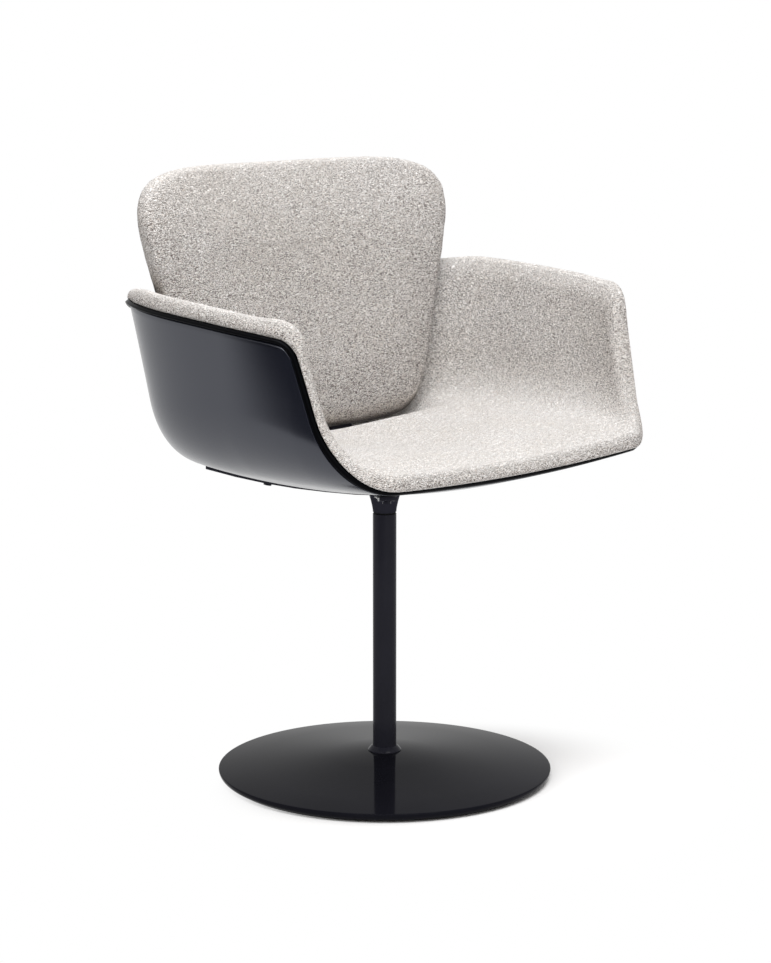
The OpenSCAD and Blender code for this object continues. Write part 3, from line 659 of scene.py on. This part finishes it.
def make_flare():
    bore = COLUMN_R + COLUMN_EASE
    top = HUB_Z + FLARE_H
    return turned("column_foot_flare", [(bore, HUB_Z), (FLARE_R, HUB_Z), (FLARE_R, HUB_Z + FLARE_FOOT),
                                        (FLARE_R - FLARE_FOOT_IN, HUB_Z + FLARE_FOOT_TOP),
                                        (COLUMN_R + FLARE_LIP_OUT, top - EDGE_BREAK),
                                        (COLUMN_R + FLARE_LIP, top), (bore, top)])


def make_column():
    inner = COLUMN_R - COLUMN_WALL
    return turned("column_post", [(inner, COLUMN_FOOT), (COLUMN_R, COLUMN_FOOT),
                                  (COLUMN_R, COLUMN_TOP - EDGE_BREAK),
                                  (COLUMN_R - EDGE_BREAK, COLUMN_TOP), (inner, COLUMN_TOP)])


def make_collar():
    """The trumpet: a short straight neck above the seam, and a flare up to the bracket."""
    low = SEAM_Z + TURN_GAP
    neck = [(COLLAR_BORE_R, low), (COLUMN_R - EDGE_BREAK, low), (COLUMN_R, low + EDGE_BREAK)]
    flare = [(lerp(COLUMN_R, COLLAR_TOP_R, t ** COLLAR_POWER),
              low + COLLAR_NECK + (COLLAR_H - COLLAR_NECK) * t)
             for t in np.linspace(0, 1, COLLAR_STEPS + 1)]
    return turned("trumpet_collar", neck + flare + [(COLLAR_BORE_R, low + COLLAR_H)])


def make_bracket():
    """The star bracket with its arms drawn in beside the screws and its plate edges broken."""
    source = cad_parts["star_bracket"]
    piece = bpy.data.objects.new("star_bracket_plate", source.data.copy())
    bpy.context.scene.collection.objects.link(piece)
    only(piece)
    bpy.ops.object.mode_set(mode="EDIT")
    bpy.ops.mesh.select_all(action="SELECT")
    bpy.ops.mesh.remove_doubles(threshold=WELD)
    bpy.ops.mesh.dissolve_limited(angle_limit=PLATE_FLAT)
    bpy.ops.object.mode_set(mode="OBJECT")
    at = vertices_of(piece.data) / MM
    heading = (np.floor(np.arctan2(at[:, 1], at[:, 0]) / (math.pi / 2)) + 0.5) * math.pi / 2
    along = at[:, 0] * np.cos(heading) + at[:, 1] * np.sin(heading)
    across = at[:, 1] * np.cos(heading) - at[:, 0] * np.sin(heading)
    spare = np.maximum(np.abs(across) - BRACKET_KEEP, 0) * (1 - BRACKET_WAIST)
    across -= np.sign(across) * spare * ease((along - WAIST_FROM) / WAIST_RUN)
    at[:, 0] = along * np.cos(heading) - across * np.sin(heading)
    at[:, 1] = along * np.sin(heading) + across * np.cos(heading)
    piece.data.vertices.foreach_set("co", (at * MM).ravel())
    piece.data.update()
    bevel = piece.modifiers.new("broken_edges", "BEVEL")
    bevel.width = EDGE_BREAK * MM
    bevel.segments = 2
    bevel.limit_method = "ANGLE"
    bevel.angle_limit = PLATE_CORNER
    bpy.ops.object.modifier_apply(modifier=bevel.name)
    bpy.ops.object.shade_smooth_by_angle(angle=PLATE_BEND)
    return piece


# Materials

class Nodes:
    """A node tree with a few short ways to add to it."""

    def __init__(self, tree):
        self.tree = tree
        self.tree.nodes.clear()

    def node(self, kind, **values):
        made = self.tree.nodes.new(kind)
        for key, value in values.items():
            setattr(made, key, value)
        return made

    def link(self, output, socket):
        self.tree.links.new(output, socket)

    def feed(self, value, socket):
        """Links an output to a socket, or writes a plain number there."""
        if hasattr(value, "links"):
            self.link(value, socket)
        else:
            socket.default_value = value

    def maths(self, kind, a, b=0.0, c=0.0):
        made = self.node("ShaderNodeMath", operation=kind)
        for value, socket in zip((a, b, c), made.inputs):
            self.feed(value, socket)
        return made.outputs[0]

    def fade(self, value, start, end):
        """Runs smoothly from 0 to 1 while a value runs from start to end."""
        made = self.node("ShaderNodeMapRange", interpolation_type="SMOOTHSTEP")
        self.link(value, made.inputs["Value"])
        made.inputs["From Min"].default_value = start
        made.inputs["From Max"].default_value = end
        return made.outputs["Result"]

    def ramp(self, value, stops):
        made = self.node("ShaderNodeValToRGB")
        line = made.color_ramp
        while len(line.elements) < len(stops):
            line.elements.new(0.5)
        for element, (position, colour) in zip(line.elements, stops):
            element.position = position
            element.color = (*colour, 1)
        self.link(value, made.inputs["Fac"])
        return made.outputs["Color"]

    def mix(self, share, a, b, blend="MIX"):
        made = self.node("ShaderNodeMix", data_type="RGBA", blend_type=blend)
        for value, socket in ((share, made.inputs[0]), (a, made.inputs[6]), (b, made.inputs[7])):
            self.feed(value, socket)
        return made.outputs[2]

    def mix_shaders(self, share, a, b):
        made = self.node("ShaderNodeMixShader")
        for output, socket in zip((share, a, b), made.inputs):
            self.link(output, socket)
        return made.outputs[0]

    def looked_at(self):
        """Is 1 for a ray from the camera, straight or by way of gloss or glass, and 0 for stray light."""
        ray = self.node("ShaderNodeLightPath").outputs
        straight = self.maths("MAXIMUM", ray["Is Camera Ray"], ray["Is Glossy Ray"])
        return self.maths("MAXIMUM", straight, ray["Is Transmission Ray"])


class Finish(Nodes):
    """A material whose nodes lead to one principled shader."""

    def __init__(self, name):
        self.material = bpy.data.materials.new(name)
        self.material.use_nodes = True
        super().__init__(self.material.node_tree)
        self.shader = self.node("ShaderNodeBsdfPrincipled")
        self.out = self.node("ShaderNodeOutputMaterial")
        self.link(self.shader.outputs[0], self.out.inputs["Surface"])
        self.place = self.node("ShaderNodeTexCoord").outputs["Object"]

    def set(self, **values):
        for key, value in values.items():
            self.shader.inputs[key.replace("_", " ")].default_value = value

    def show(self, output, socket):
        self.link(output, self.shader.inputs[socket])

    def noise(self, scale, detail=2.0, roughness=0.5, place=None):
        made = self.node("ShaderNodeTexNoise")
        made.inputs["Scale"].default_value = scale
        made.inputs["Detail"].default_value = detail
        made.inputs["Roughness"].default_value = roughness
        self.link(place or self.place, made.inputs["Vector"])
        return made

    def cells(self, scale, place):
        made = self.node("ShaderNodeTexVoronoi", feature="F1")
        made.inputs["Scale"].default_value = scale
        self.link(place, made.inputs["Vector"])
        return made

    def bump(self, height, strength, distance_mm):
        made = self.node("ShaderNodeBump")
        made.inputs["Strength"].default_value = strength
        made.inputs["Distance"].default_value = distance_mm * MM
        self.link(height, made.inputs["Height"])
        self.show(made.outputs["Normal"], "Normal")


def wool_place(look):
    """Where the wool's pattern is read: drawn out across the piece and drifting a little."""
    across = look.node("ShaderNodeMapping")
    across.inputs["Scale"].default_value = LOOP_SHAPE
    look.link(look.place, across.inputs["Vector"])
    shift = look.node("ShaderNodeVectorMath", operation="MULTIPLY_ADD")
    look.link(look.noise(DRIFT_SCALE).outputs["Color"], shift.inputs[0])
    shift.inputs[1].default_value = (DRIFT, DRIFT, DRIFT)
    look.link(across.outputs[0], shift.inputs[2])
    return shift.outputs[0]


def boucle(name, crevice_mm, crevice_shade_stops):
    """Looped wool in oat, ecru and cream, its loops lying across the piece, with painted shade between its
    loops, strongest on upright faces, and painted shade in its crevices.
    """
    look = Finish(name)
    place = wool_place(look)
    loops = look.cells(LOOP_SCALE, place)
    threads = look.noise(THREAD_SCALE, detail=1.5, roughness=0.6, place=place)
    height = look.maths("MULTIPLY_ADD", loops.outputs["Distance"], -LOOP_HEIGHT,
                     look.maths("MULTIPLY_ADD", threads.outputs["Fac"], THREAD_HEIGHT, WOOL_BASE))
    yarn = look.ramp(look.noise(YARN_SCALE, detail=1.0, place=place).outputs["Fac"],
                  [(0.33, OAT), (0.43, ECRU), (0.50, CREAM), (0.60, IVORY)])
    # Painted shade: the hollows between loops are coloured near-black and the loops' sides a little darker,
    # for the shade that falls there.
    hollow_shade = look.ramp(height, [(0.49, LOOP_HOLLOW_SHADE), (0.62, LOOP_SIDE_SHADE), (0.69, WHITE)])
    # The painted hollow shade shows fully on upright faces, where overhead light grazes the loops; a level
    # face loses most of it.
    facing = look.node("ShaderNodeSeparateXYZ")
    look.link(look.node("ShaderNodeNewGeometry").outputs["Normal"], facing.inputs[0])
    slope_shade_share = look.maths("MULTIPLY_ADD", look.maths("ABSOLUTE", facing.outputs["Z"]), -LEVEL_SHADE_LOSS, 1.0)
    colour = look.mix(slope_shade_share, yarn, look.mix(1.0, yarn, hollow_shade, "MULTIPLY"))
    cloud = look.ramp(look.noise(CLOUD_SCALE).outputs["Fac"], [(0.35, CLOUD), (0.65, WHITE)])
    # Painted shade: the colour darkens where ambient occlusion finds other surfaces close by, in crevices
    # and, on the cushion, along its edges near the seat and arms.
    shade = look.node("ShaderNodeAmbientOcclusion", samples=6)
    shade.inputs["Distance"].default_value = crevice_mm * MM
    nook_shade = look.ramp(shade.outputs["AO"], crevice_shade_stops)
    look.show(look.mix(1.0, look.mix(1.0, colour, cloud, "MULTIPLY"), nook_shade, "MULTIPLY"), "Base Color")
    look.set(Roughness=0.95, Specular_IOR_Level=0.15, Sheen_Weight=0.25, Sheen_Roughness=0.6)
    look.bump(height, strength=1.0, distance_mm=WOOL_RELIEF)
    return look.material


def darker(colour, share):
    return [part * share for part in colour]


def shell_gloss(name, colour, roughness, ior):
    """Moulded plastic with a faint orange-peel and fine handling marks."""
    look = Finish(name)
    depth = look.noise(6, detail=3).outputs["Fac"]
    look.show(look.ramp(depth, [(0.3, darker(colour, 0.9)), (0.7, colour)]), "Base Color")
    marks = look.noise(45, detail=4, roughness=0.6).outputs["Fac"]
    look.show(look.maths("MULTIPLY_ADD", marks, 0.08, roughness - 0.04), "Roughness")
    look.set(IOR=ior, Specular_Tint=(0.86, 0.89, 1.0, 1.0))
    look.bump(look.noise(420).outputs["Fac"], strength=0.03, distance_mm=0.15)
    return look.material


def enamel(name, colour, roughness, ior):
    """Smooth black enamel over metal."""
    look = Finish(name)
    depth = look.noise(14, detail=3).outputs["Fac"]
    look.show(look.ramp(depth, [(0.35, darker(colour, 0.85)), (0.7, colour)]), "Base Color")
    marks = look.noise(60, detail=4, roughness=0.6).outputs["Fac"]
    look.show(look.maths("MULTIPLY_ADD", marks, 0.06, roughness - 0.03), "Roughness")
    look.set(IOR=ior)
    look.bump(look.noise(700).outputs["Fac"], strength=0.02, distance_mm=0.1)
    return look.material


def bright_steel():
    """Bare steel of the hidden fasteners and shaft."""
    look = Finish("bright_steel")
    depth = look.noise(90, detail=3).outputs["Fac"]
    look.show(look.ramp(depth, [(0.3, (0.42, 0.43, 0.44)), (0.7, (0.60, 0.61, 0.62))]), "Base Color")
    marks = look.noise(240, detail=3).outputs["Fac"]
    look.show(look.maths("MULTIPLY_ADD", marks, 0.2, 0.25), "Roughness")
    look.set(Metallic=1.0)
    return look.material


def matt(name, dark, light, scale, roughness, bump_mm=0.2):
    """A dull, grained finish between two colours."""
    look = Finish(name)
    grain = look.noise(scale, detail=4, roughness=0.6).outputs["Fac"]
    look.show(look.ramp(grain, [(0.3, dark), (0.7, light)]), "Base Color")
    look.set(Roughness=roughness)
    look.bump(grain, strength=0.3, distance_mm=bump_mm)
    return look.material


def grey(value):
    return (value, value, value)


def wear(piece, material):
    piece.data.materials.clear()
    piece.data.materials.append(material)


def dress_node(name, material):
    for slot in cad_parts[name].material_slots:
        slot.material = material


# The studio

def make_camera():
    bpy.ops.object.camera_add(location=CAMERA_PLACE,
                              rotation=(math.radians(90 - CAMERA_PITCH), 0, math.radians(-CAMERA_TURN)))
    camera = bpy.context.object
    camera.name = "photo_camera"
    camera.data.sensor_fit = "AUTO"
    camera.data.sensor_width = CAMERA_SENSOR
    camera.data.lens = CAMERA_LENS
    camera.data.shift_x = CAMERA_SHIFT
    camera.data.clip_end = CAMERA_CLIP
    bpy.context.scene.camera = camera


def make_floor():
    """A white floor that clears to plain white away from the base and keeps the shadow beside it."""
    bpy.ops.object.select_all(action="DESELECT")
    bpy.ops.mesh.primitive_plane_add(size=FLOOR_SIDE, location=(0, 0, -FLOOR_DROP))
    floor = bpy.context.object
    floor.name = "studio_floor"
    look = Finish("floor_white")
    look.set(Base_Color=(0.93, 0.93, 0.93, 1), Roughness=0.9, Specular_IOR_Level=0.1)
    middle = look.node("ShaderNodeVectorMath", operation="DISTANCE")
    look.link(look.place, middle.inputs[0])
    middle.inputs[1].default_value = (SHADOW_X, SHADOW_Y, 0)
    beyond = look.fade(middle.outputs["Value"], SHADOW_NEAR, SHADOW_FAR)
    clear = look.maths("MULTIPLY", look.looked_at(), beyond)
    white = look.node("ShaderNodeEmission").outputs[0]
    look.link(look.mix_shaders(clear, look.shader.outputs[0], white), look.out.inputs["Surface"])
    wear(floor, look.material)


def make_side_flag():
    """A dark flag at the left of the set, which only the gloss of the shell and column sees."""
    bpy.ops.object.select_all(action="DESELECT")
    bpy.ops.mesh.primitive_grid_add(x_subdivisions=8, y_subdivisions=8, size=1, location=(0, 0, 0))
    flag = bpy.context.object
    flag.name = "side_flag"
    bpy.ops.object.mode_set(mode="EDIT")
    bpy.ops.mesh.select_all(action="SELECT")
    bpy.ops.transform.resize(value=(FLAG_LENGTH, FLAG_HEIGHT, 1))
    for axis in ("X", "Z"):
        bpy.ops.transform.rotate(value=math.radians(90), orient_axis=axis, center_override=(0, 0, 0))
    bpy.ops.transform.translate(value=(FLAG_X, FLAG_Y, FLAG_HEIGHT / 2))
    bpy.ops.object.mode_set(mode="OBJECT")
    look = Finish("flag_cloth")
    split = look.node("ShaderNodeSeparateXYZ")
    look.link(look.place, split.inputs[0])
    clear = look.fade(split.outputs["Y"], FLAG_DARK_Y, FLAG_CLEAR_Y)
    black = look.node("ShaderNodeEmission")
    black.inputs["Strength"].default_value = 0.0
    thin = look.node("ShaderNodeBsdfTransparent").outputs[0]
    look.link(look.mix_shaders(clear, black.outputs[0], thin), look.out.inputs["Surface"])
    wear(flag, look.material)
    flag.visible_camera = flag.visible_diffuse = flag.visible_shadow = flag.visible_transmission = False


def area_lamp(name, place, side, watts):
    bpy.ops.object.light_add(type="AREA", location=place)
    lamp = bpy.context.object
    lamp.name = name
    lamp.data.shape = "RECTANGLE"
    lamp.data.size = lamp.data.size_y = side
    lamp.data.energy = watts
    aim = Vector(LAMP_AIM) - Vector(place)
    lamp.rotation_euler = aim.to_track_quat("-Z", "Y").to_euler()


def make_sky():
    """A soft light from all round, which looks plain white where it is seen."""
    world = bpy.data.worlds.new("studio")
    bpy.context.scene.world = world
    world.use_nodes = True
    sky = Nodes(world.node_tree)
    shades = []
    for colour, strength in ((SKY_LIGHT, SKY_STRENGTH), (WHITE, 1.0)):
        made = sky.node("ShaderNodeBackground")
        made.inputs["Color"].default_value = (*colour, 1)
        made.inputs["Strength"].default_value = strength
        shades.append(made.outputs[0])
    out = sky.node("ShaderNodeOutputWorld")
    sky.link(sky.mix_shaders(sky.looked_at(), *shades), out.inputs["Surface"])


def make_chair_pieces(black_enamel):
    """Makes each new piece, hangs it on its body, dresses it in its finish and hides the solid it stands in
    for.
    """
    grid = SeatGrid()
    # Each wool's last list is its painted shade in crevices: a thin dark line on the seat, and a wider
    # darkening on the cushion near the seat and arms.
    seat_wool = boucle("seat_boucle", SEAT_CREVICE, [(0.08, SEAT_NOOK_SHADE), (0.42, WHITE)])
    cushion_wool = boucle("cushion_boucle", CUSHION_CREVICE,
                          [(0.28, CUSHION_NOOK_SHADE), (0.42, CUSHION_DUSK_SHADE), (0.55, CUSHION_SHADE), (0.85, WHITE)])
    black_shell = shell_gloss("gloss_shell", (0.009, 0.010, 0.016), roughness=0.20, ior=1.72)
    black_lip = shell_gloss("gloss_lip", (0.002, 0.002, 0.0025), roughness=0.28, ior=1.1)
    disc_enamel = enamel("disc_enamel", (0.008, 0.008, 0.0115), roughness=0.07, ior=1.078)
    collar_enamel = enamel("collar_enamel", (0.026, 0.026, 0.036), roughness=0.4, ior=1.05)

    outer = make_outer_shell(grid)
    inner = make_inner_shell(grid)
    padding = make_seat_padding(grid)
    cushion = make_cushion()
    pieces = [
        (outer, "seat", "outer_shell", "shell_gloss", black_shell),
        (inner, "seat", "inner_shell", "shell_gloss", black_lip),
        (padding, "seat", "seat_pad", "boucle", seat_wool),
        (cushion, "seat", "back_cushion", "boucle", cushion_wool),
        (make_collar(), "seat", "collar", "black_enamel", collar_enamel),
        (make_bracket(), "seat", "star_bracket", "black_enamel", black_enamel),
        (make_base(), "pedestal", "base_disc", "black_enamel", disc_enamel),
        (make_flare(), "pedestal", "foot_ring", "black_enamel", black_enamel),
        (make_column(), "pedestal", "column_tube", "black_enamel", black_enamel),
    ]
    for piece, body, node, slot, material in pieces:
        wear(piece, material)
        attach(piece, body)
        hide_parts(node)


def dress_solids(black_enamel):
    """Gives the solids that show as they are their materials."""
    rubber = matt("black_rubber", grey(0.012), grey(0.03), scale=300, roughness=0.8)
    # The bushes' black plastic is made near-black as painted shade, so the seam between collar and column
    # reads as a dark groove.
    plastic = matt("bearing_plastic_groove_shade", grey(0.001), grey(0.002), scale=240, roughness=0.9, bump_mm=0.05)
    ply = matt("raw_ply", (0.45, 0.32, 0.18), (0.62, 0.47, 0.30), scale=60, roughness=0.75)
    finishes = [
        (black_enamel, ("seat_screws", "back_brackets")),
        (bright_steel(), ("tube_plug", "draw_bolt", "draw_washer", "swivel_shaft", "shaft_washer",
                          "shaft_circlip", "thread_inserts", "bracket_rivets", "board_screws")),
        (rubber, ("glide_ring", "bracket_pads")),
        (plastic, ("lower_bush", "upper_bush")),
        (ply, ("back_board",)),
    ]
    for material, names in finishes:
        for name in names:
            dress_node(name, material)


def main():
    make_camera()
    make_floor()
    make_side_flag()
    make_sky()
    area_lamp("overhead_softbox", OVERHEAD_PLACE, OVERHEAD_SIDE, OVERHEAD_WATTS)
    area_lamp("left_softbox", LEFT_PLACE, LEFT_SIDE, LEFT_WATTS)
    black_enamel = enamel("black_enamel", (0.021, 0.021, 0.029), roughness=0.16, ior=1.14)
    make_chair_pieces(black_enamel)
    dress_solids(black_enamel)
    bpy.context.scene.view_settings.view_transform = "Standard"


main()
